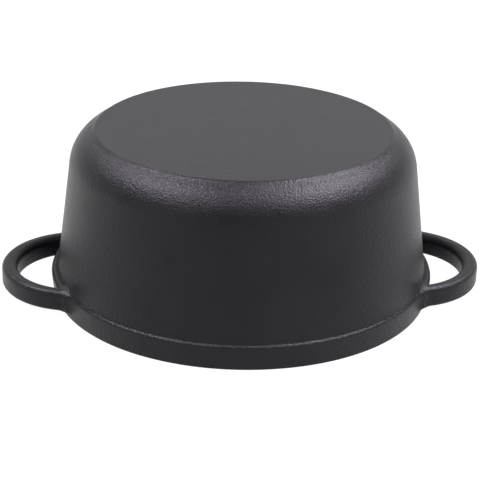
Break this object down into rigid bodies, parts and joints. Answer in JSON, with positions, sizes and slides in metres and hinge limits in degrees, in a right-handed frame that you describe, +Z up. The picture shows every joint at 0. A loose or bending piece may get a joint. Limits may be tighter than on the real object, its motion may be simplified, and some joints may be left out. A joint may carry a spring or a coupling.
{
  "type": "cast iron dutch oven",
  "caption": "Round cast iron pot with loop handles, turned over on its rim, with a drop-in lid and turned knob lying under it.",
  "frame": {"origin": "on the pot's axis, in the plane that the rim of the upturned pot stands on", "axes": "+Z up along the pot's axis, from the rim to the ground base; X through the two loop handles"},
  "size_m": [0.3346, 0.26, 0.1174],
  "materials": {
    "cast_iron": "matt seasoned casting, fine sand grain",
    "knob_steel": "turned and brushed stainless steel",
    "fastener_steel": "plain stainless fasteners"
  },
  "bodies": {
    "lid": {"lid": "cast_iron", "knob_collar": "knob_steel", "lid_knob": "knob_steel", "flat_washer": "fastener_steel", "spring_washer": "fastener_steel", "knob_screw": "fastener_steel"},
    "pot": {"pot": "cast_iron"}
  },
  "joints": [
    {"name": "pot_lift", "type": "slide", "parent": "lid", "child": "pot", "axis": [0, 0, 1], "range_m": [0, 0.12]}
  ]
}
